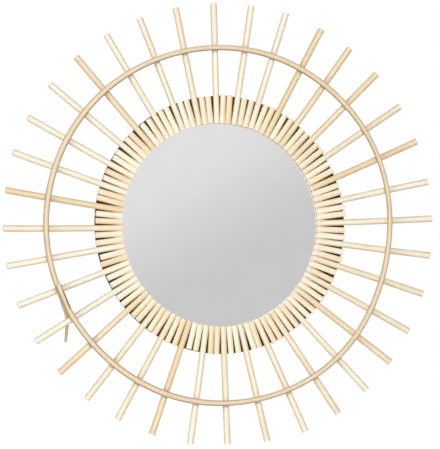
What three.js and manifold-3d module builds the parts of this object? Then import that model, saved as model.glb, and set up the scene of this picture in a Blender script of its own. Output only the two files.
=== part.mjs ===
// A round wall mirror in a sunburst of cane sticks.
// Millimetres, +Z up. The wall is the plane y = 0, the front faces -Y, and the origin is
// the centre of the backing disc's flat back face.
// Layers from the wall: disc with the glass let into it, sticks lying on the disc, hoop on
// the sticks. Pieces that touch on the real mirror keep a gap of TOUCH here.

import * as THREE from "three";
import { mergeVertices } from "three/addons/utils/BufferGeometryUtils.js";
import Module from "manifold-3d";

const wasm = await Module();
wasm.setup();

const TOUCH = 0.3;

// Backing disc and glass
const DISC_RADIUS = 174.2;
const DISC_BACK_RADIUS = 171.2;
const DISC_THICKNESS = 8;
const DISC_RIM = 2;
const GLASS_RADIUS = 147;
const GLASS_THICKNESS = 3;
const GLASS_ARRIS = 0.4;
const RECESS_CLEARANCE = 0.6;
const DISC_SIDES = 90;
const GLASS_SIDES = 72;

// Cane sticks: 36 long rays, each with one short collar stick on either side
const RAYS = 36;
const STICK_WIDTH = 7.9;
const STICK_SIDES = 8;
const STICK_PITCH = 3.2;
const INNER_RADIUS = 137;
const COLLAR_RADIUS = 174.6;
const TIP_RADIUS = 300.1;
const COLLAR_UNEVENNESS = 0.9;

// Hand-laid unevenness, as waves round the mirror: [turns, size, angle of the crest].
// Sizes are degrees for the angles and millimetres for the radii.
const INNER_ANGLE = 1.9;
const INNER_WAVES = [[1, 0.9, 126]];
const INNER_RADIUS_WAVES = [[1, 1, 190]];
const OUTER_ANGLE = 2.15;
const OUTER_WAVES = [[1, 0.52, 24], [3, 0.27, 43], [4, 0.34, 32], [6, 0.22, 42]];
const TIP_WAVES = [[3, 1.4, 60], [4, 1.0, 40]];
const HOOP_WAVES = [[1, 2.8, 197], [3, 1.2, 52], [4, 0.4, 35], [5, 0.4, 26], [6, 0.45, 15]];

// The rays that stray most: [ray, lean of its tip anticlockwise, how much longer it is]
const STRAY_RAYS = [
  [2, -2.8, 0],
  [4, -1.8, 0],
  [7, -2.4, 0],
  [8, 1.9, 1],
  [16, 1.3, 1],
  [17, 0, 1.5],
  [20, -1.3, 0],
  [27, 1.3, 0],
  [28, -1.3, -3],
  [29, 0, -1.5],
  [30, 1.4, 1.5],
  [31, 1.3, 0.5],
  [32, 1.2, 0],
  [34, -2.5, 0],
  [36, 1.6, 0],
];

// Hoop: one length of cane whose ends lap at the lower left
const HOOP_RADIUS = 239.8;
const HOOP_THICKNESS = 7.4;
const HOOP_SIDES = 8;
const HOOP_STEP = 4;
const LAP_START = 199.8;
const LAP_STEP = 1.6;
const LAP_TOP_UNTIL = 203.2;
const LAP_DOWN_FROM = 210.4;

// The hoop's loose end passes behind the ray and sticks out: [angle, radius, depth, thickness]
const LOOSE_END = [
  [203.6, 243.2, 20.3, 7.4],
  [205.2, 243.5, 17.9, 7.2],
  [206.7, 243.7, 14.2, 7.2],
  [208.2, 243.6, 10.0, 6.8],
  [209.6, 245.1, 6.3, 4.8],
  [211.1, 247.4, 5.3, 4.4],
  [212.8, 251.2, 5.2, 4.3],
  [214.6, 257.4, 5.0, 4.1],
  [216.7, 265.9, 4.8, 3.4],
];

// Sawtooth hanger in a shallow pocket at the top of the disc's back
const POCKET_WIDTH = 60;
const POCKET_HEIGHT = 16;
const POCKET_DEPTH = 3.6;
const POCKET_CENTRE_Z = 158;
const HANGER_LENGTH = 54;
const HANGER_HEIGHT = 9;
const HANGER_SHEET = 0.9;
const HANGER_FOOT = 9;
const HANGER_SLOPE = 3;
const HANGER_TOP_DEPTH = 0.4;
const TOOTH_PITCH = 3;
const TOOTH_DEPTH = 1.6;

// Depths behind the front of each layer, measured from the wall towards the viewer
const STICK_BACK = DISC_THICKNESS + TOUCH;
const STICK_AXIS = STICK_BACK + STICK_WIDTH / 2;
const STICK_FRONT = STICK_BACK + STICK_WIDTH;
const HOOP_AXIS = STICK_FRONT + TOUCH + HOOP_THICKNESS / 2;
const LAP_LIFT = HOOP_THICKNESS + TOUCH;
const GLASS_FRONT = DISC_THICKNESS - TOUCH;
const GLASS_BACK = GLASS_FRONT - GLASS_THICKNESS;

const cane = (color) => new THREE.MeshStandardMaterial({ color, roughness: 0.6, metalness: 0 });
const RAY_CANE = 0xf5e3c0;
const HOOP_CANE = 0xe3c79c;
const BOARD_BROWN = 0x4a2e14;
const SILVERED_GLASS = 0xd2d3d4;
const STEEL = 0xb9b6ae;

const radians = THREE.MathUtils.degToRad;

// The sum of the waves at an angle in degrees
function sway(waves, angle) {
  return waves.reduce((sum, [turns, size, crest]) => {
    return sum + size * Math.cos(radians(turns * (angle - crest)));
  }, 0);
}

// A point given by its angle and radius round the mirror and its depth in front of the wall
function place(angle, radius, depth) {
  return new THREE.Vector3(
    radius * Math.cos(radians(angle)),
    -depth,
    radius * Math.sin(radians(angle)),
  );
}

// The closed solid of a geometry, for cutting and joining
function toSolid(geometry) {
  const bare = geometry.clone();
  bare.deleteAttribute("normal");
  bare.deleteAttribute("uv");
  const merged = mergeVertices(bare, 1e-4);
  const corners = merged.index.array;
  const triVerts = [];
  for (let i = 0; i < corners.length; i += 3) {
    const [a, b, c] = [corners[i], corners[i + 1], corners[i + 2]];
    if (a !== b && b !== c && c !== a) {
      triVerts.push(a, b, c);
    }
  }
  const vertProperties = new Float32Array(merged.attributes.position.array);
  return new wasm.Manifold(new wasm.Mesh({
    numProp: 3,
    vertProperties,
    triVerts: new Uint32Array(triVerts),
  }));
}

function toGeometry(solid) {
  const mesh = solid.getMesh();
  const geometry = new THREE.BufferGeometry();
  geometry.setAttribute("position", new THREE.BufferAttribute(new Float32Array(mesh.vertProperties), 3));
  geometry.setIndex(new THREE.BufferAttribute(new Uint32Array(mesh.triVerts), 1));
  geometry.computeVertexNormals();
  return geometry;
}

// A regular outline with a flat to each side, given by its width across the flats
function evenOutline(sides, width) {
  const corner = width / 2 / Math.cos(Math.PI / sides);
  const points = [];
  for (let i = 0; i < sides; i += 1) {
    const turn = ((i + 0.5) * 2 * Math.PI) / sides;
    points.push(new THREE.Vector2(corner * Math.cos(turn), corner * Math.sin(turn)));
  }
  return new THREE.Shape(points);
}

// One straight stick between two points, a flat to the wall and a flat to each neighbour
function stick(inner, outer) {
  const along = outer.clone().sub(inner);
  const geometry = new THREE.ExtrudeGeometry(evenOutline(STICK_SIDES, STICK_WIDTH), {
    depth: along.length(),
    bevelEnabled: false,
  });
  const front = new THREE.Vector3(0, -1, 0);
  along.normalize();
  const side = new THREE.Vector3().crossVectors(front, along);
  geometry.applyMatrix4(new THREE.Matrix4().makeBasis(side, front, along));
  geometry.translate(inner.x, inner.y, inner.z);
  return toSolid(geometry);
}

// A ray and the two collar sticks that touch it at their inner ends
function rayTrio(index) {
  const angle = (index * 360) / RAYS;
  const stray = STRAY_RAYS.find(([ray]) => ray === index + 1) ?? [index + 1, 0, 0];
  const [, lean, extraLength] = stray;
  const innerAngle = angle + INNER_ANGLE + sway(INNER_WAVES, angle);
  const innerRadius = INNER_RADIUS + sway(INNER_RADIUS_WAVES, angle);
  const tipRadius = TIP_RADIUS + sway(TIP_WAVES, angle) + extraLength;
  const leanAngle = THREE.MathUtils.radToDeg(lean / tipRadius);
  const outerAngle = angle + OUTER_ANGLE + sway(OUTER_WAVES, angle) + leanAngle;
  const inner = place(innerAngle, innerRadius, STICK_AXIS);
  const tip = place(outerAngle, tipRadius, STICK_AXIS);
  const heading = THREE.MathUtils.radToDeg(Math.atan2(tip.z - inner.z, tip.x - inner.x));
  let trio = stick(inner, tip);
  for (const side of [-1, 1]) {
    const turn = side * STICK_PITCH;
    const uneven = COLLAR_UNEVENNESS * Math.sin(2.4 * index + side);
    const start = place(innerAngle + turn, innerRadius, STICK_AXIS);
    const shortLength = COLLAR_RADIUS - innerRadius + uneven;
    const end = start.clone().add(place(heading + turn, shortLength, 0));
    trio = trio.add(stick(start, end));
  }
  return toGeometry(trio);
}

// The hoop's stations: one round of the mirror from the lapping end, then the loose end
function hoopStations() {
  const stations = [];
  const roundEnd = LOOSE_END[0][0] + 360;
  let angle = LAP_START;
  while (angle < roundEnd - LAP_STEP) {
    const onTop = 1 - THREE.MathUtils.smoothstep(angle, LAP_TOP_UNTIL, LAP_DOWN_FROM);
    stations.push({
      point: place(angle, HOOP_RADIUS + sway(HOOP_WAVES, angle), HOOP_AXIS + LAP_LIFT * onTop),
      width: HOOP_THICKNESS,
    });
    angle += angle < LAP_DOWN_FROM ? LAP_STEP : HOOP_STEP;
  }
  for (const [turn, radius, depth, width] of LOOSE_END) {
    stations.push({ point: place(turn, radius, depth), width });
  }
  return stations;
}

// A tube through the stations, narrowed to each station's width
function hoopGeometry() {
  const stations = hoopStations();
  const path = new THREE.CatmullRomCurve3(stations.map((station) => station.point));
  path.getUtoTmapping = (u) => u;
  const geometry = new THREE.ExtrudeGeometry(evenOutline(HOOP_SIDES, HOOP_THICKNESS * 0.97), {
    steps: stations.length - 1,
    extrudePath: path,
    bevelEnabled: false,
  });
  const position = geometry.attributes.position;
  const corner = new THREE.Vector3();
  for (let i = 0; i < position.count; i += 1) {
    corner.fromBufferAttribute(position, i);
    const nearest = stations.reduce((best, station) => {
      return station.point.distanceTo(corner) < best.point.distanceTo(corner) ? station : best;
    });
    corner.sub(nearest.point).multiplyScalar(nearest.width / HOOP_THICKNESS).add(nearest.point);
    position.setXYZ(i, corner.x, corner.y, corner.z);
  }
  return toGeometry(toSolid(geometry));
}

function box(width, depth, height, x, y, z) {
  const geometry = new THREE.BoxGeometry(width, depth, height);
  geometry.translate(x, y, z);
  return toSolid(geometry);
}

// The disc turned from board, its edge undercut behind a narrow rim so that it hardly shows,
// with a round recess for the glass and the hanger's pocket
function discGeometry() {
  const recessRadius = GLASS_RADIUS + RECESS_CLEARANCE;
  const recessFloor = GLASS_BACK - TOUCH;
  const profile = [
    [0, -recessFloor],
    [recessRadius, -recessFloor],
    [recessRadius, -DISC_THICKNESS],
    [DISC_RADIUS, -DISC_THICKNESS],
    [DISC_RADIUS, -DISC_THICKNESS + DISC_RIM],
    [DISC_BACK_RADIUS, 0],
    [0, 0],
  ].map(([radius, y]) => new THREE.Vector2(radius, y));
  const board = toSolid(new THREE.LatheGeometry(profile, DISC_SIDES));
  const pocket = box(POCKET_WIDTH, 2 * POCKET_DEPTH, POCKET_HEIGHT, 0, 0, POCKET_CENTRE_Z);
  return toGeometry(board.subtract(pocket));
}

// The round glass, its edges eased by a small arris
function glassGeometry() {
  const profile = [
    [0, -GLASS_FRONT],
    [GLASS_RADIUS - GLASS_ARRIS, -GLASS_FRONT],
    [GLASS_RADIUS, -GLASS_FRONT + GLASS_ARRIS],
    [GLASS_RADIUS, -GLASS_BACK - GLASS_ARRIS],
    [GLASS_RADIUS - GLASS_ARRIS, -GLASS_BACK],
    [0, -GLASS_BACK],
  ].map(([radius, y]) => new THREE.Vector2(radius, y));
  return toGeometry(toSolid(new THREE.LatheGeometry(profile, GLASS_SIDES)));
}

// The bridge of the hanger seen from above: two feet on the pocket floor, the middle raised
function hangerBridge() {
  const half = HANGER_LENGTH / 2;
  const footEnd = half - HANGER_FOOT;
  const raisedEnd = footEnd - HANGER_SLOPE;
  const top = -HANGER_TOP_DEPTH;
  const low = -POCKET_DEPTH + TOUCH + HANGER_SHEET;
  const upper = [[-half, low], [-footEnd, low], [-raisedEnd, top], [raisedEnd, top], [footEnd, low], [half, low]];
  const under = upper.map(([x, y]) => [x, y - HANGER_SHEET]).reverse();
  const outline = new THREE.Shape([...upper, ...under].map(([x, y]) => new THREE.Vector2(x, y)));
  const geometry = new THREE.ExtrudeGeometry(outline, { depth: HANGER_HEIGHT, bevelEnabled: false });
  geometry.translate(0, 0, POCKET_CENTRE_Z - HANGER_HEIGHT / 2);
  return toSolid(geometry);
}

// One notch between two teeth of the hanger's lower edge
function hangerNotch(x) {
  const notch = new THREE.Shape([
    new THREE.Vector2(-TOOTH_PITCH / 2, -TOOTH_DEPTH),
    new THREE.Vector2(TOOTH_PITCH / 2, -TOOTH_DEPTH),
    new THREE.Vector2(0, TOOTH_DEPTH),
  ]);
  const geometry = new THREE.ExtrudeGeometry(notch, { depth: 2 * POCKET_DEPTH, bevelEnabled: false });
  geometry.rotateX(Math.PI / 2);
  geometry.translate(x, POCKET_DEPTH, POCKET_CENTRE_Z - HANGER_HEIGHT / 2);
  return toSolid(geometry);
}

function hangerGeometry() {
  let hanger = hangerBridge();
  const raisedHalf = HANGER_LENGTH / 2 - HANGER_FOOT - HANGER_SLOPE;
  const notches = Math.floor((2 * raisedHalf) / TOOTH_PITCH) - 1;
  for (let i = 0; i < notches; i += 1) {
    hanger = hanger.subtract(hangerNotch((i - (notches - 1) / 2) * TOOTH_PITCH));
  }
  return toGeometry(hanger);
}

function named(name, geometry, material) {
  const mesh = new THREE.Mesh(geometry, material);
  mesh.name = name;
  return mesh;
}

const mirror = new THREE.Group();
mirror.add(named("backing_disc", discGeometry(), new THREE.MeshStandardMaterial({
  color: BOARD_BROWN,
  roughness: 0.8,
  metalness: 0,
})));
mirror.add(named("mirror_glass", glassGeometry(), new THREE.MeshStandardMaterial({
  color: SILVERED_GLASS,
  roughness: 0.04,
  metalness: 1,
})));
mirror.add(named("hanger", hangerGeometry(), new THREE.MeshStandardMaterial({
  color: STEEL,
  roughness: 0.4,
  metalness: 1,
})));
for (let index = 0; index < RAYS; index += 1) {
  const number = String(index + 1).padStart(2, "0");
  mirror.add(named(`ray_trio_${number}`, rayTrio(index), cane(RAY_CANE)));
}
mirror.add(named("hoop", hoopGeometry(), cane(HOOP_CANE)));

export default mirror;
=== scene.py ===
# A round wall mirror in a sunburst of cane sticks, dressed on its CAD frame.
# Metres. The front faces -Y, the wall is the plane y = 0, +Z is up.
import math
import random

import bpy
import numpy as np
from mathutils import Matrix, Vector


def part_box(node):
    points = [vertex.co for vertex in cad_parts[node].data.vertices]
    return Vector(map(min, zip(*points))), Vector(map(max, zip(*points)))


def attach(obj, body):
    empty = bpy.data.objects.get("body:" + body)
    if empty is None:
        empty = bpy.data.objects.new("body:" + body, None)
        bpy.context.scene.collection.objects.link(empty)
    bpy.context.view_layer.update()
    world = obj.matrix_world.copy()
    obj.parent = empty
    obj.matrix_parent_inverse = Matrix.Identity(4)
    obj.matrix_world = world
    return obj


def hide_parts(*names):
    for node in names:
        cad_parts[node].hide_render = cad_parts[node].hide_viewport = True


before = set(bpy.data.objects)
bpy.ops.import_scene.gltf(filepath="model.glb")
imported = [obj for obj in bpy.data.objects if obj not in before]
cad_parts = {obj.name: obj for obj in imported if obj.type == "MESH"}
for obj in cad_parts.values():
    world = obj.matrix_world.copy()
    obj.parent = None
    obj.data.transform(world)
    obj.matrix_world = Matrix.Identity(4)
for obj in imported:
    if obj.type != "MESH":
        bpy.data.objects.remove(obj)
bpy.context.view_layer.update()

MM = 0.001

# Cane sticks: 36 rays, and two collar sticks between each ray and the next. Their backs
# almost touch the board, and their inner ends lie over the glass.
RAYS = 36
STICK_RADIUS = 3.95 * MM
STICK_BACK = 8.05 * MM
INNER_RADIUS = 137 * MM
COLLAR_RADIUS = 174.6 * MM
TIP_RADIUS = 300.0 * MM
RAY_LENGTH = TIP_RADIUS - INNER_RADIUS
COLLAR_LENGTH = COLLAR_RADIUS - INNER_RADIUS

# The unevenness of hand work, as waves round the mirror: turns, size, angle of the crest.
# Angles are degrees anticlockwise from the right. Sizes are degrees for the angles and
# millimetres for the radii.
INNER_ANGLE = 1.9
INNER_WAVES = ((1, 0.9, 126),)
INNER_RADIUS_WAVES = ((1, 1, 190),)
OUTER_ANGLE = 2.15
OUTER_WAVES = ((1, 0.52, 24), (3, 0.27, 43), (4, 0.34, 32), (6, 0.22, 42))
TIP_WAVES = ((3, 1.4, 60), (4, 1.0, 40))
HOOP_WAVES = ((1, 2.8, 197), (3, 1.2, 52), (4, 0.4, 35), (5, 0.4, 26), (6, 0.45, 15))

# The rays that stray most: how far the tip leans anticlockwise and how much longer it is (mm)
STRAY_RAYS = {
    2: (-2.8, 0), 4: (-1.8, 0), 7: (-2.4, 0), 8: (1.9, 1), 16: (1.3, 1),
    17: (0, 1.5), 20: (-1.3, 0), 27: (1.3, 0), 28: (-1.3, -3), 29: (0, -1.5),
    30: (1.4, 1.5), 31: (1.3, 0.5), 32: (1.2, 0), 34: (-2.5, 0), 36: (1.6, 0),
}

# The collar sticks are a little thinner, as parts of a ray's thickness, and a little thicker
# at the top of the mirror than at its foot
COLLAR_THINNEST = 0.965
COLLAR_THICKEST = 0.995
COLLAR_THICKER_AT_TOP = 0.015

# They lie unevenly: how far each end strays, as a part of the way between its two rays, and
# how much their lengths differ, by a wave that turns this many radians from ray to ray. One
# is shorter still.
INNER_JITTER = 0.005
OUTER_JITTER = 0.043
COLLAR_UNEVENNESS = 0.9 * MM
UNEVEN_TURN = 2.4
SHORT_COLLAR_STICK = "collar_stick_20_left"
SHORT_BY = 2.0 * MM

# One stick of each kind is modelled and then copied: sides round it, cuts along it and its
# softened saw-cut ends
STICK_SIDES = 20
STICK_CUTS = 9
END_SOFTNESS = 0.35 * MM

# The most that each copy bows (at the middle of a whole ray), flattens, tapers, and leans
# its saw cuts
STICK_BOW = 0.45 * MM
STICK_OVAL = 0.03
STICK_TAPER = 0.025
SAW_TILT = 0.06

# Every stick is wider than round, a ray more so towards its tip. The stretch at the glass,
# its foot, swells until it is pared flat against its neighbours.
STICK_WIDER = 1.035
RAY_TIP_WIDER = 0.075
FOOT_WIDER = 0.1
FOOT_LENGTH = 14 * MM
CONTACT_GAP = 0.02 * MM

# How much painted shade browns a stick's flanks, from 0 to 1, and how much less of it its
# back gets. The collar's flanks hardly show, and stay plain.
RAY_PAINTED_SHADE = 0.65
COLLAR_PAINTED_SHADE = 0.0
BACK_PALER = 0.7

# Rays of honey-coloured cane and of the palest cane, counted from the right, anticlockwise
HONEY_RAYS = (3, 5, 6, 7, 14, 18, 23, 26, 33)
PALE_RAYS = (2, 8, 9, 10, 13, 15, 16, 17, 20, 21, 22, 27, 32)

# How honeyed the cane is, from 0 to 1: ranges for the rays. The power makes most collar
# sticks pale.
HONEY_TONES = (0.6, 0.9)
PALE_TONES = (0.0, 0.1)
OTHER_TONES = (0.15, 0.4)
COLLAR_TONES = (0, 0.8)
COLLAR_TONE_POWER = 1.5
HOOP_TONE = 0.4
RAY_SEED = 36
COLLAR_SEED = 72

# The hoop: one cane whose ends lap at the lower left, where the end on top comes down onto
# the rays between two angles
HOOP_RADIUS = 239.8 * MM
HOOP_THICKNESS = 7.2 * MM
HOOP_AXIS = 19.7 * MM
HOOP_SIDES = 24
HOOP_STEP = 1.0
LAP_START = 199.8
LAP_TOP_UNTIL = 203.2
LAP_DOWN_FROM = 210.4
LAP_LIFT = 7.7 * MM

# The loose end passes behind a ray and sticks out: angle in degrees, and radius, depth and
# thickness in millimetres
LOOSE_END = (
    (203.6, 243.2, 20.3, 7.2),
    (205.2, 243.5, 18.6, 7.0),
    (206.7, 243.7, 15.6, 7.0),
    (208.2, 243.5, 11.2, 6.8),
    (209.6, 244.4, 6.8, 6.0),
    (211.1, 247.0, 5.3, 4.6),
    (212.8, 251.2, 5.2, 4.1),
    (214.6, 257.4, 5.0, 3.9),
    (216.7, 265.9, 4.8, 3.2),
)
LOOSE_END_CUTS = 6

# The hoop is wider than it is deep, unevenly so: the waves are parts of its thickness
HOOP_WIDER = 1.07
HOOP_WIDTH_WAVES = ((1, 0.05, 190), (4, 0.07, 60))

# How much painted shade browns the hoop's sides, from 0 to 1, towards the centre and away
# from it, with waves round it, and the part of its half width where it begins
HOOP_INNER_PAINTED_SHADE = 0.75
HOOP_INNER_PAINTED_SHADE_WAVES = ((1, 0.25, 150),)
HOOP_OUTER_PAINTED_SHADE = 0.5
HOOP_OUTER_PAINTED_SHADE_WAVES = ((1, 0.25, 255),)
SHADE_FROM = 0.4

# The painted shade on the sides fades out over this length towards the loose end, and the
# tip of the loose end is brown all over, fading out at this length
SHADE_FADE_LENGTH = 75 * MM
LOOSE_END_SHADE = 0.45
LOOSE_END_LENGTH = 26 * MM

# A strip of painted shade towards the centre where the ends lap: its two ends, measured
# from the hoop's end on top, and the part of the half width where it begins
LAP_SHADE_STRIP = (9 * MM, 36 * MM)
LAP_SHADE_FROM = 0.45

# Board and glass
ROUND_SIDES = 192
BOARD_EDGE = 0.6 * MM
BOARD_RIM = 2 * MM
BACK_RADIUS = 171.2 * MM
GLASS_ARRIS = 0.4 * MM
RECESS_CLEARANCE = 0.6 * MM
RECESS_DEPTH = 3.6 * MM
POCKET_SIZE = (60 * MM, 3.6 * MM, 16 * MM)

# Edges under the first angle are shaded smooth, and edges over the second are eased
# (degrees)
SMOOTH_UNDER = 35
EASED_OVER = 40

# How far a face's normal leans along an axis (1 is all the way): flat faces, a stick's end
# with its softened rim, and the polished face of the glass
FLAT_FACE = 0.9
END_FACE = 0.35
POLISHED_FACE = 0.99

# The photograph's view: its size in pixels, the angles that it is seen from, how far off,
# its scale, the pixel that the mirror's centre falls on, the sensor's width in millimetres,
# and how far the camera sees
PHOTO_WIDTH, PHOTO_HEIGHT = 440, 449
AZIMUTH = -15.04
ELEVATION = -2.28
CAMERA_DISTANCE = 6.378
PIXELS_PER_METRE = 740.8
ORIGIN_PIXEL = (218.7, 224.96)
SENSOR = 36.0
SIGHT_LIMIT = 100

FLOOR_HEIGHT = -0.45
FLOOR_RADIUS = 1.6
FLOOR_COLOUR = "#f1f0ee"

# Soft lights that face the mirror: place, width, watts
SOFTBOXES = {
    "key": ((-0.2, -3.2, 1.2), 1.8, 71),
    "left": ((-3.2, -1.6, 0.3), 1.6, 47),
    "back": ((0.6, 3.0, 1.8), 2.0, 85),
}
SURROUND_LIGHT = "#7a7a7b"

# The studio that the glass reflects turns from a light to a darker grey along this direction.
# In the photograph's view it does so between these two places on the glass, in metres from
# its centre along that direction.
STUDIO_LIGHT = "#efefef"
STUDIO_DARK = "#d6d6d6"
STUDIO_SLOPE = (0.532, 0.0, -0.857)
LIGHT_UNTIL = -0.108
DARK_FROM = 0.067


def linear(hex_colour):
    """An sRGB hex colour as linear RGBA."""
    parts = [int(hex_colour[i:i + 2], 16) / 255 for i in (1, 3, 5)]
    return (*[p / 12.92 if p <= 0.04045 else ((p + 0.055) / 1.055) ** 2.4 for p in parts], 1)


def add_node(tree, kind, settings=None, inputs=None):
    """Adds a node. Settings are its properties, and an input is a value or another node's socket."""
    made = tree.nodes.new(kind)
    for name, value in (settings or {}).items():
        if name == "stops":
            ramp = made.color_ramp
            while len(ramp.elements) < len(value):
                ramp.elements.new(0.5)
            for element, (position, colour) in zip(ramp.elements, value):
                element.position = position
                element.color = linear(colour)
        else:
            setattr(made, name, value)
    for name, value in (inputs or {}).items():
        if isinstance(value, bpy.types.NodeSocket):
            tree.links.new(value, made.inputs[name])
        else:
            made.inputs[name].default_value = value
    return made


def new_material(name):
    """A material without any nodes, and its node tree."""
    material = bpy.data.materials.new(name)
    material.use_nodes = True
    material.node_tree.nodes.clear()
    return material, material.node_tree


def finish_material(tree, surface):
    """Links the surface shader to the material's output."""
    add_node(tree, "ShaderNodeOutputMaterial", inputs={"Surface": surface.outputs["BSDF"]})


def cane_side_material(name, pale, honey, fibre, brown_and_painted_shade):
    """Peeled rattan cane, sanded and thinly lacquered: straight fine fibres along the stick,
    slow changes from cream to honey, a soft sheen. The piece's tone attribute says how honeyed
    it is, and its shade attribute mixes in brown: painted shade, and the loose end's own brown."""
    material, tree = new_material(name)
    fibre_width, fibre_length = 0.5 * MM, 40 * MM
    patch_width, patch_length = 6 * MM, 55 * MM
    most_drift = 0.22
    grain_map = add_node(tree, "ShaderNodeUVMap", {"uv_map": "cane"})
    tone = add_node(tree, "ShaderNodeAttribute", {"attribute_name": "tone"})
    shade = add_node(tree, "ShaderNodeAttribute", {"attribute_name": "shade"})
    fine = add_node(tree, "ShaderNodeMapping", inputs={
        "Vector": grain_map.outputs["UV"], "Scale": (1 / fibre_width, 1 / fibre_length, 1)})
    fibres = add_node(tree, "ShaderNodeTexNoise", {"noise_dimensions": "2D"}, {
        "Vector": fine.outputs["Vector"], "Scale": 1.0, "Detail": 3.0, "Roughness": 0.6})
    slow = add_node(tree, "ShaderNodeMapping", inputs={
        "Vector": grain_map.outputs["UV"], "Scale": (1 / patch_width, 1 / patch_length, 1)})
    patches = add_node(tree, "ShaderNodeTexNoise", {"noise_dimensions": "2D"}, {
        "Vector": slow.outputs["Vector"], "Scale": 1.0, "Detail": 2.0})
    drift = add_node(tree, "ShaderNodeMapRange", inputs={
        "Value": patches.outputs["Fac"], "From Min": 0.3, "From Max": 0.7,
        "To Min": -most_drift, "To Max": most_drift})
    honeyed = add_node(tree, "ShaderNodeMath", {"operation": "ADD", "use_clamp": True}, {
        0: tone.outputs["Fac"], 1: drift.outputs["Result"]})
    body = add_node(tree, "ShaderNodeMixRGB", inputs={
        "Fac": honeyed.outputs["Value"], "Color1": linear(pale), "Color2": linear(honey)})
    fibre_part = add_node(tree, "ShaderNodeMapRange", inputs={
        "Value": fibres.outputs["Fac"], "From Min": 0.52, "From Max": 0.75,
        "To Min": 0.0, "To Max": 0.5})
    grained = add_node(tree, "ShaderNodeMixRGB", inputs={
        "Fac": fibre_part.outputs["Result"], "Color1": body.outputs["Color"],
        "Color2": linear(fibre)})
    # Painted shade: the shade attribute mixes the brown in over the grained colour
    shaded = add_node(tree, "ShaderNodeMixRGB", inputs={
        "Fac": shade.outputs["Fac"], "Color1": grained.outputs["Color"],
        "Color2": linear(brown_and_painted_shade)})
    rough = add_node(tree, "ShaderNodeMapRange", inputs={
        "Value": fibres.outputs["Fac"], "To Min": 0.42, "To Max": 0.68})
    bump = add_node(tree, "ShaderNodeBump", inputs={
        "Height": fibres.outputs["Fac"], "Strength": 0.5, "Distance": 0.12 * MM})
    surface = add_node(tree, "ShaderNodeBsdfPrincipled", inputs={
        "Base Color": shaded.outputs["Color"], "Roughness": rough.outputs["Result"],
        "Normal": bump.outputs["Normal"], "IOR": 1.48, "Specular IOR Level": 0.4})
    finish_material(tree, surface)
    return material


def cane_end_material(name, body, pore):
    """The saw-cut end of rattan cane: a rough face with open pores. Real pores are about a
    third of a millimetre wide. They are drawn a little larger, so that they show."""
    material, tree = new_material(name)
    pore_spacing = 0.7 * MM
    grain_map = add_node(tree, "ShaderNodeUVMap", {"uv_map": "cane"})
    pores = add_node(tree, "ShaderNodeTexVoronoi", {"voronoi_dimensions": "2D"}, {
        "Vector": grain_map.outputs["UV"], "Scale": 1 / pore_spacing})
    spots = add_node(tree, "ShaderNodeMapRange", inputs={
        "Value": pores.outputs["Distance"], "From Min": 0.15, "From Max": 0.4,
        "To Min": 1.0, "To Max": 0.0})
    colour = add_node(tree, "ShaderNodeMixRGB", inputs={
        "Fac": spots.outputs["Result"], "Color1": linear(body), "Color2": linear(pore)})
    bump = add_node(tree, "ShaderNodeBump", inputs={
        "Height": pores.outputs["Distance"], "Strength": 0.6, "Distance": 0.2 * MM})
    surface = add_node(tree, "ShaderNodeBsdfPrincipled", inputs={
        "Base Color": colour.outputs["Color"], "Roughness": 0.85,
        "Normal": bump.outputs["Normal"]})
    finish_material(tree, surface)
    return material


def painted_board_material():
    """Fibreboard with one thin coat of dark brown paint: matt, the roller's orange peel, and
    the board's fibres grinning through in slightly lighter specks."""
    material, tree = new_material("brown_painted_fibreboard")
    peel_size, cloud_size = 1.2 * MM, 60 * MM
    peel_share, cloud_share = 0.45, 0.6
    offset = -0.08
    spot = add_node(tree, "ShaderNodeTexCoord")
    peel = add_node(tree, "ShaderNodeTexNoise", inputs={
        "Vector": spot.outputs["Object"], "Scale": 1 / peel_size, "Detail": 4.0})
    clouds = add_node(tree, "ShaderNodeTexNoise", inputs={
        "Vector": spot.outputs["Object"], "Scale": 1 / cloud_size, "Detail": 5.0})
    specks = add_node(tree, "ShaderNodeMath", {"operation": "MULTIPLY_ADD", "use_clamp": True}, {
        0: peel.outputs["Fac"], 1: peel_share, 2: offset})
    both = add_node(tree, "ShaderNodeMath", {"operation": "MULTIPLY_ADD", "use_clamp": True}, {
        0: clouds.outputs["Fac"], 1: cloud_share, 2: specks.outputs["Value"]})
    colour = add_node(tree, "ShaderNodeValToRGB", {
        "stops": ((0.2, "#472706"), (0.55, "#5e380a"), (0.9, "#764c16"))},
        {"Fac": both.outputs["Value"]})
    bump = add_node(tree, "ShaderNodeBump", inputs={
        "Height": peel.outputs["Fac"], "Strength": 0.35, "Distance": 0.15 * MM})
    surface = add_node(tree, "ShaderNodeBsdfPrincipled", inputs={
        "Base Color": colour.outputs["Color"], "Roughness": 0.72,
        "Normal": bump.outputs["Normal"], "Specular IOR Level": 0.12})
    finish_material(tree, surface)
    return material


def silvered_glass_material():
    """Silvered float glass seen from its polished face: a neutral mirror that swallows a little
    light, with the faintest wiped haze."""
    material, tree = new_material("silvered_float_glass")
    haze_size = 35 * MM
    spot = add_node(tree, "ShaderNodeTexCoord")
    haze = add_node(tree, "ShaderNodeTexNoise", inputs={
        "Vector": spot.outputs["Object"], "Scale": 1 / haze_size, "Detail": 3.0})
    rough = add_node(tree, "ShaderNodeMapRange", inputs={
        "Value": haze.outputs["Fac"], "To Min": 0.004, "To Max": 0.02})
    colour = add_node(tree, "ShaderNodeValToRGB", {
        "stops": ((0.3, "#eeeeee"), (0.7, "#f0f0f0"))}, {"Fac": haze.outputs["Fac"]})
    surface = add_node(tree, "ShaderNodeBsdfPrincipled", inputs={
        "Base Color": colour.outputs["Color"], "Metallic": 1.0,
        "Roughness": rough.outputs["Result"]})
    finish_material(tree, surface)
    return material


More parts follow.
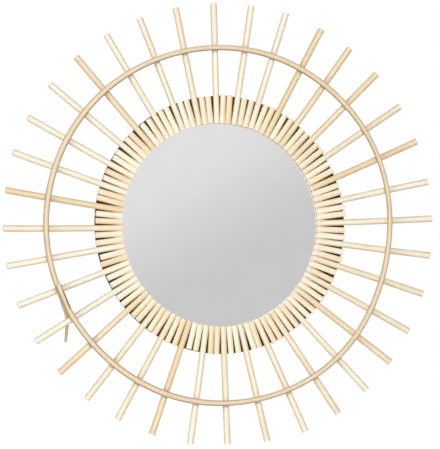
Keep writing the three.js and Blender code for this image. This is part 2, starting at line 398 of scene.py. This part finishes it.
def glass_edge_material():
    """The ground edge and painted back of the glass: grey-green, finely frosted."""
    material, tree = new_material("ground_glass_edge")
    grit_size = 0.4 * MM
    spot = add_node(tree, "ShaderNodeTexCoord")
    frost = add_node(tree, "ShaderNodeTexNoise", inputs={
        "Vector": spot.outputs["Object"], "Scale": 1 / grit_size, "Detail": 2.0})
    colour = add_node(tree, "ShaderNodeValToRGB", {
        "stops": ((0.3, "#6f8078"), (0.7, "#93a39b"))}, {"Fac": frost.outputs["Fac"]})
    surface = add_node(tree, "ShaderNodeBsdfPrincipled", inputs={
        "Base Color": colour.outputs["Color"], "Roughness": 0.55})
    finish_material(tree, surface)
    return material


def plated_steel_material():
    """Pressed sheet steel with bright zinc plating: grey, streaked lengthwise by the rolling,
    the paler streaks a little rougher."""
    material, tree = new_material("zinc_plated_sheet_steel")
    scratch_width, scratch_length = 0.25 * MM, 12 * MM
    spot = add_node(tree, "ShaderNodeTexCoord")
    stretched = add_node(tree, "ShaderNodeMapping", inputs={
        "Vector": spot.outputs["Object"],
        "Scale": (1 / scratch_length, 1 / scratch_width, 1 / scratch_width)})
    scratches = add_node(tree, "ShaderNodeTexNoise", inputs={
        "Vector": stretched.outputs["Vector"], "Scale": 1.0, "Detail": 3.0})
    colour = add_node(tree, "ShaderNodeValToRGB", {
        "stops": ((0.3, "#9c9a94"), (0.7, "#c4c2bb"))}, {"Fac": scratches.outputs["Fac"]})
    rough = add_node(tree, "ShaderNodeMapRange", inputs={
        "Value": scratches.outputs["Fac"], "To Min": 0.28, "To Max": 0.5})
    surface = add_node(tree, "ShaderNodeBsdfPrincipled", inputs={
        "Base Color": colour.outputs["Color"], "Metallic": 1.0,
        "Roughness": rough.outputs["Result"]})
    finish_material(tree, surface)
    return material


def sway(waves, angle):
    """The sum of the waves at an angle in degrees."""
    return sum(size * math.cos(math.radians(turns * (angle - crest)))
               for turns, size, crest in waves)


def waves_at(waves, angles):
    """The sum of the waves at each of a list of angles."""
    return np.array([sway(waves, angle) for angle in angles])


def place(angle, radius, depth):
    """A point by its angle and radius round the mirror and its depth in front of the wall."""
    turn = math.radians(angle)
    return Vector((radius * math.cos(turn), -depth, radius * math.sin(turn)))


def bearing(point):
    """A point's angle round the mirror, in degrees."""
    return math.degrees(math.atan2(point.z, point.x))


def between(angles, part):
    """The angle a part of the way from the first angle anticlockwise to the second."""
    return angles[0] + part * ((angles[1] - angles[0]) % 360)


def smooth_step(value, low, high):
    """0 below low, 1 above high, and a soft change from one to the other."""
    part = min(max((value - low) / (high - low), 0), 1)
    return part * part * (3 - 2 * part)


def curve_point(before, start, end, after, part):
    """A point a part of the way from start to end on a smooth curve through all four."""
    return 0.5 * ((2 * start) + (end - before) * part
                  + (2 * before - 5 * start + 4 * end - after) * part ** 2
                  + (3 * start - before - 3 * end + after) * part ** 3)


def deselect():
    """Deselects everything, the frame's nodes included."""
    bpy.ops.object.select_all(action="DESELECT")


def pick(piece):
    """Selects a piece alone and makes it the active one."""
    deselect()
    piece.select_set(True)
    bpy.context.view_layer.objects.active = piece


def made_object(name):
    """Names the object that an operator has just added."""
    piece = bpy.context.active_object
    piece.name = name
    piece.data.name = name
    return piece


def copy_of(template, name):
    """A copy of a piece, with a mesh of its own."""
    piece = template.copy()
    piece.data = template.data.copy()
    piece.name = name
    piece.data.name = name
    bpy.context.scene.collection.objects.link(piece)
    return piece


def edit_faces(piece, wanted):
    """Goes into edit mode with only the wanted faces selected, chosen by centre and normal."""
    bpy.ops.object.mode_set(mode="EDIT")
    bpy.ops.mesh.select_mode(type="FACE")
    bpy.ops.mesh.select_all(action="DESELECT")
    bpy.ops.object.mode_set(mode="OBJECT")
    for face in piece.data.polygons:
        face.select = wanted(face.center, face.normal)
    bpy.ops.object.mode_set(mode="EDIT")


def apply_modifier(piece, kind, **settings):
    """Adds a modifier to a piece and applies it."""
    modifier = piece.modifiers.new(kind.lower(), kind)
    for name, value in settings.items():
        setattr(modifier, name, value)
    bpy.context.view_layer.objects.active = piece
    bpy.ops.object.modifier_apply(modifier=modifier.name)


def ease_edges(piece, width):
    """Takes the sharpness off a piece's edges."""
    apply_modifier(piece, "BEVEL", width=width, segments=2, limit_method="ANGLE",
                   angle_limit=math.radians(EASED_OVER))


def settle(piece):
    """Puts the piece's place and turn into its mesh and smooths its round faces."""
    pick(piece)
    bpy.ops.object.transform_apply(location=True, rotation=True, scale=True)
    bpy.ops.object.shade_smooth_by_angle(angle=math.radians(SMOOTH_UNDER))
    deselect()


def set_materials(piece, *materials):
    """Gives a piece these materials and no others."""
    piece.data.materials.clear()
    for material in materials:
        piece.data.materials.append(material)


def points_of(piece):
    """The places of a piece's vertices, one row each."""
    flat = np.empty(len(piece.data.vertices) * 3)
    piece.data.vertices.foreach_get("co", flat)
    return flat.reshape(-1, 3)


def set_points(piece, points):
    """Moves a piece's vertices to these places."""
    piece.data.vertices.foreach_set("co", points.ravel())
    piece.data.update()


def set_attribute(piece, name, values):
    """Gives each vertex of a piece a value that its material reads."""
    made = piece.data.attributes.new(name, "FLOAT", "POINT")
    made.data.foreach_set("value", np.asarray(values, dtype=float))


def new_cane_map(mesh):
    """A UV map for the cane's pattern, the mesh's only one. It is in metres."""
    for layer in list(mesh.uv_layers):
        mesh.uv_layers.remove(layer)
    return mesh.uv_layers.new(name="cane")


def upright_stick(length, side_material, end_material):
    """A stick on the Z axis from 0 to its length, cut along it, its two ends softened."""
    deselect()
    bpy.ops.mesh.primitive_cylinder_add(
        vertices=STICK_SIDES, radius=STICK_RADIUS, depth=length, end_fill_type="NGON",
        location=(0, 0, length / 2))
    stick = made_object("stick")
    settle(stick)
    edit_faces(stick, lambda centre, normal: abs(normal.z) > FLAT_FACE)
    bpy.ops.mesh.bevel(offset=END_SOFTNESS, segments=2, affect="EDGES")
    for cut in range(1, STICK_CUTS + 1):
        height = length * cut / (STICK_CUTS + 1)
        bpy.ops.mesh.select_all(action="SELECT")
        bpy.ops.mesh.bisect(plane_co=(0, 0, height), plane_no=(0, 0, 1))
    bpy.ops.object.mode_set(mode="OBJECT")
    map_stick(stick)
    stick.data.materials.append(side_material)
    stick.data.materials.append(end_material)
    return stick


def map_stick(stick):
    """Gives the stick its cane map, round and along it with the seam at the back (-Y), and
    puts its ends in the second material slot."""
    mesh = stick.data
    cane_map = new_cane_map(mesh)
    for face in mesh.polygons:
        is_end = abs(face.normal.z) > END_FACE
        face.material_index = 1 if is_end else 0
        face_turn = math.atan2(face.center.x, face.center.y)
        for corner in face.loop_indices:
            point = mesh.vertices[mesh.loops[corner].vertex_index].co
            if is_end:
                cane_map.data[corner].uv = (point.x, point.y)
                continue
            turn = math.atan2(point.x, point.y)
            if turn - face_turn > math.pi:
                turn -= 2 * math.pi
            if face_turn - turn > math.pi:
                turn += 2 * math.pi
            cane_map.data[corner].uv = (turn * STICK_RADIUS, point.z)


def shift_map(stick, across, along):
    """Moves the stick to another part of the cane pattern, so that no two look alike."""
    cane_map = stick.data.uv_layers["cane"]
    corners = np.empty(len(stick.data.loops) * 2)
    cane_map.data.foreach_get("uv", corners)
    cane_map.data.foreach_set("uv", (corners.reshape(-1, 2) + (across, along)).ravel())


def worked_points(points, foot_radius, length, thickness, tip_wider, chance):
    """The upright stick's points, worked to this length and thickness: tapered to one end,
    oval, bowed and sawn a little obliquely. Its foot is pared flat where it meets its
    neighbours, which leave it less room the nearer it is to the centre."""
    drawn = points[:, 2].max()
    part = np.clip((points[:, 2] - END_SOFTNESS) / (drawn - 2 * END_SOFTNESS), 0, 1)
    height = points[:, 2] + part * (length - drawn)
    taper = chance.uniform(0, STICK_TAPER)
    towards_thin_end = part if chance.random() < 0.5 else 1 - part
    narrowed = thickness * (1 - taper * towards_thin_end)
    foot = np.clip(1 - height / FOOT_LENGTH, 0, 1)
    wide = points[:, 0] * narrowed * (STICK_WIDER + tip_wider * part + FOOT_WIDER * foot)
    thick = points[:, 1] * narrowed * (1 - chance.uniform(0, STICK_OVAL))
    for is_end, inward in ((part == 0, 1), (part == 1, -1)):
        tilt = chance.uniform(-SAW_TILT, SAW_TILT)
        height[is_end] += inward * (abs(tilt) * STICK_RADIUS + tilt * wide[is_end])
    bow = chance.uniform(-STICK_BOW, STICK_BOW) * (length / RAY_LENGTH) ** 2
    room = (foot_radius + height) * math.pi / (3 * RAYS) - CONTACT_GAP / 2
    wide = np.clip(wide, -room, room) + bow * np.sin(math.pi * part)
    return np.stack((wide, thick, height), axis=1)


def laid_stick(template, name, start, end, thickness, tip_wider, tone, painted_flank_shade, chance):
    """A worked copy of the template laid from start to end, its front towards the viewer.
    Painted shade browns its flanks most, and its back less."""
    stick = copy_of(template, name)
    points = points_of(stick)
    worked = worked_points(
        points, start.xz.length, (end - start).length, thickness, tip_wider, chance)
    along = (end - start).normalized()
    front = Vector((0, -1, 0))
    axes = np.array((front.cross(along), front, along))
    set_points(stick, worked @ axes + np.array(start))
    shift_map(stick, chance.uniform(0, 1), chance.uniform(0, 1))
    # Painted shade: full at the flanks, none at the front, and less at the back
    forward = points[:, 1] / STICK_RADIUS
    brown_and_painted_shade = 1 - np.where(forward > 0, forward, -BACK_PALER * forward)
    set_attribute(stick, "tone", np.full(len(points), tone))
    set_attribute(stick, "shade", painted_flank_shade * brown_and_painted_shade)
    return stick


def finish_stick(stick, index):
    """Settles a stick. It stands for the frame's trio that holds it."""
    settle(stick)
    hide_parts(f"ray_trio_{index + 1:02d}")
    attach(stick, "root")


def ray_tone(number, chance):
    """How honeyed a ray is, from 0 for the palest cane to 1."""
    if number in HONEY_RAYS:
        return chance.uniform(*HONEY_TONES)
    if number in PALE_RAYS:
        return chance.uniform(*PALE_TONES)
    return chance.uniform(*OTHER_TONES)


def ray_ends(index):
    """The inner end and the tip of a ray's axis."""
    angle = index * 360 / RAYS
    lean, extra_length = STRAY_RAYS.get(index % RAYS + 1, (0, 0))
    inner_angle = angle + INNER_ANGLE + sway(INNER_WAVES, angle)
    inner_radius = INNER_RADIUS + sway(INNER_RADIUS_WAVES, angle) * MM
    tip_radius = TIP_RADIUS + (sway(TIP_WAVES, angle) + extra_length) * MM
    lean_angle = math.degrees(lean * MM / tip_radius)
    outer_angle = angle + OUTER_ANGLE + sway(OUTER_WAVES, angle) + lean_angle
    depth = STICK_BACK + STICK_RADIUS
    return place(inner_angle, inner_radius, depth), place(outer_angle, tip_radius, depth)


def lay_rays(side_material, end_material):
    """The 36 long sticks."""
    chance = random.Random(RAY_SEED)
    template = upright_stick(RAY_LENGTH, side_material, end_material)
    for index in range(RAYS):
        start, tip = ray_ends(index)
        tone = ray_tone(index + 1, chance)
        ray = laid_stick(
            template, f"ray_{index + 1:02d}", start, tip, thickness=1,
            tip_wider=RAY_TIP_WIDER, tone=tone, painted_flank_shade=RAY_PAINTED_SHADE, chance=chance)
        finish_stick(ray, index)
    bpy.data.objects.remove(template)


def collar_reach(name, owner, side):
    """How far from the centre a collar stick's outer end lies."""
    uneven = COLLAR_UNEVENNESS * math.sin(UNEVEN_TURN * owner + (1 if side == "left" else -1))
    if name == SHORT_COLLAR_STICK:
        uneven -= SHORT_BY
    return COLLAR_RADIUS + uneven


def lay_collar(side_material, end_material):
    """The 72 short sticks, two between each ray and the next, about thirds of the way. The
    first is the left neighbour of its ray, and the second the right neighbour of the next."""
    chance = random.Random(COLLAR_SEED)
    template = upright_stick(COLLAR_LENGTH, side_material, end_material)
    for index in range(RAYS):
        rays = [ray_ends(index), ray_ends(index + 1)]
        feet = [bearing(start) for start, _ in rays]
        heads = [bearing(start.lerp(tip, COLLAR_LENGTH / RAY_LENGTH)) for start, tip in rays]
        for third, side, owner in ((1, "left", index), (2, "right", (index + 1) % RAYS)):
            name = f"collar_stick_{owner + 1:02d}_{side}"
            thickness = chance.uniform(COLLAR_THINNEST, COLLAR_THICKEST)
            thickness += COLLAR_THICKER_AT_TOP * math.sin(math.radians(feet[0]))
            depth = STICK_BACK + STICK_RADIUS * thickness
            foot_angle = between(feet, third / 3 + chance.uniform(-INNER_JITTER, INNER_JITTER))
            head_angle = between(heads, third / 3 + chance.uniform(-OUTER_JITTER, OUTER_JITTER))
            foot = place(foot_angle, rays[0][0].xz.length, depth)
            head = place(head_angle, collar_reach(name, owner, side), depth)
            tone = chance.uniform(*COLLAR_TONES) ** COLLAR_TONE_POWER
            short = laid_stick(
                template, name, foot, head, thickness=thickness, tip_wider=0,
                tone=tone, painted_flank_shade=COLLAR_PAINTED_SHADE, chance=chance)
            finish_stick(short, owner)
    bpy.data.objects.remove(template)


def round_stations():
    """Points once round the hoop, from its end on top, with half its thickness there."""
    stations = []
    angle = LAP_START
    loose_start = LOOSE_END[0][0] + 360
    while angle < loose_start - HOOP_STEP:
        lift = LAP_LIFT * (1 - smooth_step(angle, LAP_TOP_UNTIL, LAP_DOWN_FROM))
        radius = HOOP_RADIUS + sway(HOOP_WAVES, angle) * MM
        stations.append((place(angle, radius, HOOP_AXIS + lift), HOOP_THICKNESS / 2))
        angle += HOOP_STEP
    return stations


def loose_stations():
    """Points along the hoop's loose end, with half its thickness there."""
    knots = [(place(turn, radius * MM, depth * MM), thickness * MM / 2)
             for turn, radius, depth, thickness in LOOSE_END]
    stations = []
    for index in range(len(knots) - 1):
        before = knots[max(index - 1, 0)][0]
        start, start_half = knots[index]
        end, end_half = knots[index + 1]
        after = knots[min(index + 2, len(knots) - 1)][0]
        for cut in range(LOOSE_END_CUTS):
            part = cut / LOOSE_END_CUTS
            point = curve_point(before, start, end, after, part)
            stations.append((point, start_half + (end_half - start_half) * part))
    stations.append(knots[-1])
    return stations


def hoop_tube(stations):
    """A thick curve through the stations, made a mesh and closed at its two ends."""
    curve = bpy.data.curves.new("hoop_path", "CURVE")
    curve.dimensions = "3D"
    curve.bevel_depth = 1.0
    curve.bevel_resolution = HOOP_SIDES // 2 - 2
    curve.twist_mode = "MINIMUM"
    line = curve.splines.new("POLY")
    line.points.add(len(stations) - 1)
    for point, (centre, half) in zip(line.points, stations):
        point.co = (*centre, 1)
        point.radius = half
    path = bpy.data.objects.new("bent_hoop", curve)
    bpy.context.scene.collection.objects.link(path)
    pick(path)
    bpy.ops.object.convert(target="MESH")
    hoop = made_object("bent_hoop")
    bpy.ops.object.mode_set(mode="EDIT")
    bpy.ops.mesh.select_all(action="SELECT")
    bpy.ops.mesh.fill_holes(sides=0)
    bpy.ops.mesh.normals_make_consistent(inside=False)
    bpy.ops.object.mode_set(mode="OBJECT")
    return hoop


def around_hoop(points, stations):
    """Where each vertex lies: its station, how far along the hoop it is, the direction away
    from the mirror's centre there, how far that way it is from the hoop's axis, and its turn
    round that axis from the front. The vertices come in rings, one to a station."""
    centres = np.array([point for point, _ in stations])
    steps = np.linalg.norm(np.diff(centres, axis=0), axis=1)
    station = np.arange(len(points)) * len(stations) // len(points)
    way = np.concatenate(([0], np.cumsum(steps)))[station]
    arm = points - centres[station]
    outward = centres[station] * (1, 0, 1)
    outward /= np.linalg.norm(outward, axis=1)[:, None]
    out_part = (arm * outward).sum(axis=1)
    turns = np.arctan2(out_part, -arm[:, 1])
    return station, way, outward, out_part, turns


def map_hoop(hoop, way, turns):
    """The hoop's cane map, round and along it. Only the faces of its two ends have more than
    four corners, and they take the second material."""
    mesh = hoop.data
    cane_map = new_cane_map(mesh)
    for face in mesh.polygons:
        face.material_index = 1 if len(face.vertices) > 4 else 0
        corners = [mesh.loops[loop].vertex_index for loop in face.loop_indices]
        first = turns[corners[0]]
        for loop, vertex in zip(face.loop_indices, corners):
            turn = turns[vertex]
            turn += 2 * math.pi * round((first - turn) / (2 * math.pi))
            cane_map.data[loop].uv = (turn * HOOP_THICKNESS / 2, way[vertex])


def shade_hoop(hoop, bearings, station, way, out_part):
    """How brown the hoop is: painted shade on its sides, fading out towards the loose end, a
    strip of painted shade towards the centre where the two ends lap, and the tip of the loose end."""
    rounded = out_part / (HOOP_THICKNESS / 2)
    inner = HOOP_INNER_PAINTED_SHADE + waves_at(HOOP_INNER_PAINTED_SHADE_WAVES, bearings)[station]
    outer = HOOP_OUTER_PAINTED_SHADE + waves_at(HOOP_OUTER_PAINTED_SHADE_WAVES, bearings)[station]
    edge_part = np.clip((abs(rounded) - SHADE_FROM) / (1 - SHADE_FROM), 0, 1)
    to_end = way.max() - way
    # Painted shade on the sides, fading out towards the loose end
    flanks = np.where(rounded < 0, inner, outer) * edge_part
    flanks *= np.clip(to_end / SHADE_FADE_LENGTH, 0, 1)
    # A strip of painted shade at full strength, on the side towards the centre where the ends lap
    lap_shade = (way > LAP_SHADE_STRIP[0]) & (way < LAP_SHADE_STRIP[1]) & (rounded < -LAP_SHADE_FROM)
    loose = LOOSE_END_SHADE * np.clip(2 - 2 * to_end / LOOSE_END_LENGTH, 0, 1)
    set_attribute(hoop, "shade", np.maximum(np.where(lap_shade, 1.0, flanks), loose))
    set_attribute(hoop, "tone", np.full(len(way), HOOP_TONE))


def bend_hoop(side_material, end_material):
    """The hoop, bent from one cane, with its two ends lapping."""
    stations = round_stations() + loose_stations()
    bearings = [bearing(point) for point, _ in stations]
    hoop = hoop_tube(stations)
    hoop.data.materials.append(side_material)
    hoop.data.materials.append(end_material)
    points = points_of(hoop)
    station, way, outward, out_part, turns = around_hoop(points, stations)
    map_hoop(hoop, way, turns)
    shade_hoop(hoop, bearings, station, way, out_part)
    wider = HOOP_WIDER + waves_at(HOOP_WIDTH_WAVES, bearings)[station]
    set_points(hoop, points + outward * (out_part * (wider - 1))[:, None])
    settle(hoop)
    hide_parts("hoop")
    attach(hoop, "root")


def round_blank(name, radius, thickness, middle):
    """A round blank that faces the viewer, with its middle at this place along Y."""
    deselect()
    bpy.ops.mesh.primitive_cylinder_add(
        vertices=ROUND_SIDES, radius=radius, depth=thickness,
        location=(0, middle, 0), rotation=(math.pi / 2, 0, 0))
    blank = made_object(name)
    settle(blank)
    return blank


def cut_pocket(board):
    """Cuts the hanger's pocket into the back of the board, centred on the hanger."""
    low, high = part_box("hanger")
    width, depth, height = POCKET_SIZE
    deselect()
    bpy.ops.mesh.primitive_cube_add(
        size=1, location=(0, 0, (low[2] + high[2]) / 2), scale=(width, 2 * depth, height))
    cutter = made_object("pocket_cutter")
    apply_modifier(board, "BOOLEAN", object=cutter, operation="DIFFERENCE", solver="EXACT")
    bpy.data.objects.remove(cutter)


def build_board(material):
    """The round board behind everything: a rim with the edge undercut behind it, a recess for
    the glass, and a pocket for the hanger."""
    low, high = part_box("backing_disc")
    radius = (high[0] - low[0]) / 2
    glass_low, glass_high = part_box("mirror_glass")
    recess_radius = (glass_high[0] - glass_low[0]) / 2 + RECESS_CLEARANCE
    board = round_blank("painted_board", radius, BOARD_RIM, low[1] + BOARD_RIM / 2)
    pick(board)
    edit_faces(board, lambda centre, normal: normal.y > FLAT_FACE)
    behind_rim = high[1] - low[1] - BOARD_RIM
    bpy.ops.mesh.extrude_region_move(TRANSFORM_OT_translate={"value": (0, behind_rim, 0)})
    bpy.ops.transform.resize(value=(BACK_RADIUS / radius, 1, BACK_RADIUS / radius))
    edit_faces(board, lambda centre, normal: normal.y < -FLAT_FACE)
    bpy.ops.mesh.inset(thickness=radius - recess_radius)
    bpy.ops.mesh.extrude_region_move(TRANSFORM_OT_translate={"value": (0, RECESS_DEPTH, 0)})
    bpy.ops.object.mode_set(mode="OBJECT")
    cut_pocket(board)
    ease_edges(board, BOARD_EDGE)
    set_materials(board, material)
    settle(board)
    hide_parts("backing_disc")
    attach(board, "root")


def build_glass(face_material, edge_material):
    """The round mirror glass, its ground edge eased."""
    low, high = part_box("mirror_glass")
    radius = (high[0] - low[0]) / 2
    glass = round_blank("round_glass", radius, high[1] - low[1], (low[1] + high[1]) / 2)
    ease_edges(glass, GLASS_ARRIS)
    set_materials(glass, face_material, edge_material)
    for face in glass.data.polygons:
        face.material_index = 0 if face.normal.y < -POLISHED_FACE else 1
    settle(glass)
    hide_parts("mirror_glass")
    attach(glass, "root")


def dress_hanger(material):
    """The hanger keeps its CAD shape and gets its plating."""
    set_materials(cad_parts["hanger"], material)


def build_mirror():
    """Every piece of the mirror, from the board forwards."""
    # The last colour of each cane is the brown of its painted shade, and on the hoop also of its
    # loose end
    ray_side = cane_side_material(
        "peeled_rattan_cane", pale="#fdf3de", honey="#edd3a6", fibre="#dcc199",
        brown_and_painted_shade="#9c8460")
    ray_end = cane_end_material("sawn_cane_end", body="#fdf5e6", pore="#dcc6a0")
    hoop_side = cane_side_material(
        "bent_rattan_cane", pale="#efdcbd", honey="#e3caa4", fibre="#c9a677",
        brown_and_painted_shade="#6f5228")
    hoop_end = cane_end_material("sawn_hoop_end", body="#e6cfa8", pore="#a98352")
    build_board(painted_board_material())
    build_glass(silvered_glass_material(), glass_edge_material())
    dress_hanger(plated_steel_material())
    lay_rays(ray_side, ray_end)
    lay_collar(ray_side, ray_end)
    bend_hoop(hoop_side, hoop_end)


def camera_axes():
    """The photograph's right, up and backward directions."""
    azimuth, elevation = math.radians(AZIMUTH), math.radians(ELEVATION)
    right = Vector((math.cos(azimuth), math.sin(azimuth), 0))
    backward = Vector((math.sin(azimuth) * math.cos(elevation),
                       -math.cos(azimuth) * math.cos(elevation), math.sin(elevation)))
    return right, backward.cross(right), backward


def set_camera():
    """The camera at the photograph's viewing angle, moved sideways until the mirror's centre
    falls on its pixel."""
    right, up, backward = camera_axes()
    aim = (right * (PHOTO_WIDTH / 2 - ORIGIN_PIXEL[0])
           - up * (PHOTO_HEIGHT / 2 - ORIGIN_PIXEL[1])) / PIXELS_PER_METRE
    data = bpy.data.cameras.new("photo_camera")
    data.sensor_width = SENSOR
    data.lens = SENSOR * CAMERA_DISTANCE * PIXELS_PER_METRE / max(PHOTO_WIDTH, PHOTO_HEIGHT)
    data.clip_end = SIGHT_LIMIT
    camera = bpy.data.objects.new("photo_camera", data)
    turn = Matrix((right, up, backward)).transposed().to_4x4()
    camera.matrix_world = Matrix.Translation(aim + backward * CAMERA_DISTANCE) @ turn
    bpy.context.scene.collection.objects.link(camera)
    bpy.context.scene.camera = camera


def add_softbox(name, position, size, power):
    """A square soft light that faces the mirror. The one behind it isn't seen in reflections."""
    data = bpy.data.lights.new(name, "AREA")
    data.shape = "SQUARE"
    data.size = size
    data.energy = power
    lamp = bpy.data.objects.new(name, data)
    lamp.location = position
    lamp.rotation_euler = Vector(position).to_track_quat("Z", "Y").to_euler()
    lamp.visible_glossy = name != "back"
    bpy.context.scene.collection.objects.link(lamp)


def set_world():
    """The surroundings: white to the camera, and a softer grey as light from all round. What
    the glass reflects of them goes from a light to a darker grey, in a soft change."""
    world = bpy.data.worlds.new("white_studio")
    world.use_nodes = True
    tree = world.node_tree
    tree.nodes.clear()
    kind = add_node(tree, "ShaderNodeLightPath")
    sight = add_node(tree, "ShaderNodeTexCoord")
    slope = add_node(tree, "ShaderNodeVectorMath", {"operation": "DOT_PRODUCT"}, {
        0: sight.outputs["Generated"], 1: STUDIO_SLOPE})
    backward = camera_axes()[2]
    reflected = Vector((-backward.x, backward.y, -backward.z)).dot(Vector(STUDIO_SLOPE))
    change = add_node(tree, "ShaderNodeMapRange", {"interpolation_type": "SMOOTHSTEP"}, {
        "Value": slope.outputs["Value"], "From Min": reflected + LIGHT_UNTIL / CAMERA_DISTANCE,
        "From Max": reflected + DARK_FROM / CAMERA_DISTANCE})
    studio = add_node(tree, "ShaderNodeMixRGB", inputs={
        "Fac": change.outputs["Result"], "Color1": linear(STUDIO_LIGHT),
        "Color2": linear(STUDIO_DARK)})
    glossy = add_node(tree, "ShaderNodeMixRGB", inputs={
        "Fac": kind.outputs["Is Glossy Ray"], "Color1": linear(SURROUND_LIGHT),
        "Color2": studio.outputs["Color"]})
    seen = add_node(tree, "ShaderNodeMixRGB", inputs={
        "Fac": kind.outputs["Is Camera Ray"], "Color1": glossy.outputs["Color"],
        "Color2": (1, 1, 1, 1)})
    back = add_node(tree, "ShaderNodeBackground", inputs={"Color": seen.outputs["Color"]})
    add_node(tree, "ShaderNodeOutputWorld", inputs={"Surface": back.outputs["Background"]})
    bpy.context.scene.world = world


def add_floor():
    """A plain pale round floor well below the mirror."""
    material, tree = new_material("pale_floor")
    surface = add_node(tree, "ShaderNodeBsdfPrincipled", inputs={
        "Base Color": linear(FLOOR_COLOUR), "Roughness": 0.8})
    finish_material(tree, surface)
    deselect()
    bpy.ops.mesh.primitive_circle_add(
        vertices=ROUND_SIDES, radius=FLOOR_RADIUS, fill_type="NGON",
        location=(0, 0, FLOOR_HEIGHT))
    floor = made_object("floor")
    floor.data.materials.append(material)
    settle(floor)


def light_studio():
    """The surroundings, the soft lights and the floor, shown without any grading."""
    set_world()
    for name, (position, size, power) in SOFTBOXES.items():
        add_softbox(name, position, size, power)
    add_floor()
    scene = bpy.context.scene
    scene.view_settings.view_transform = "Standard"
    scene.view_settings.look = "None"


build_mirror()
light_studio()
set_camera()

bpy.context.view_layer.update()
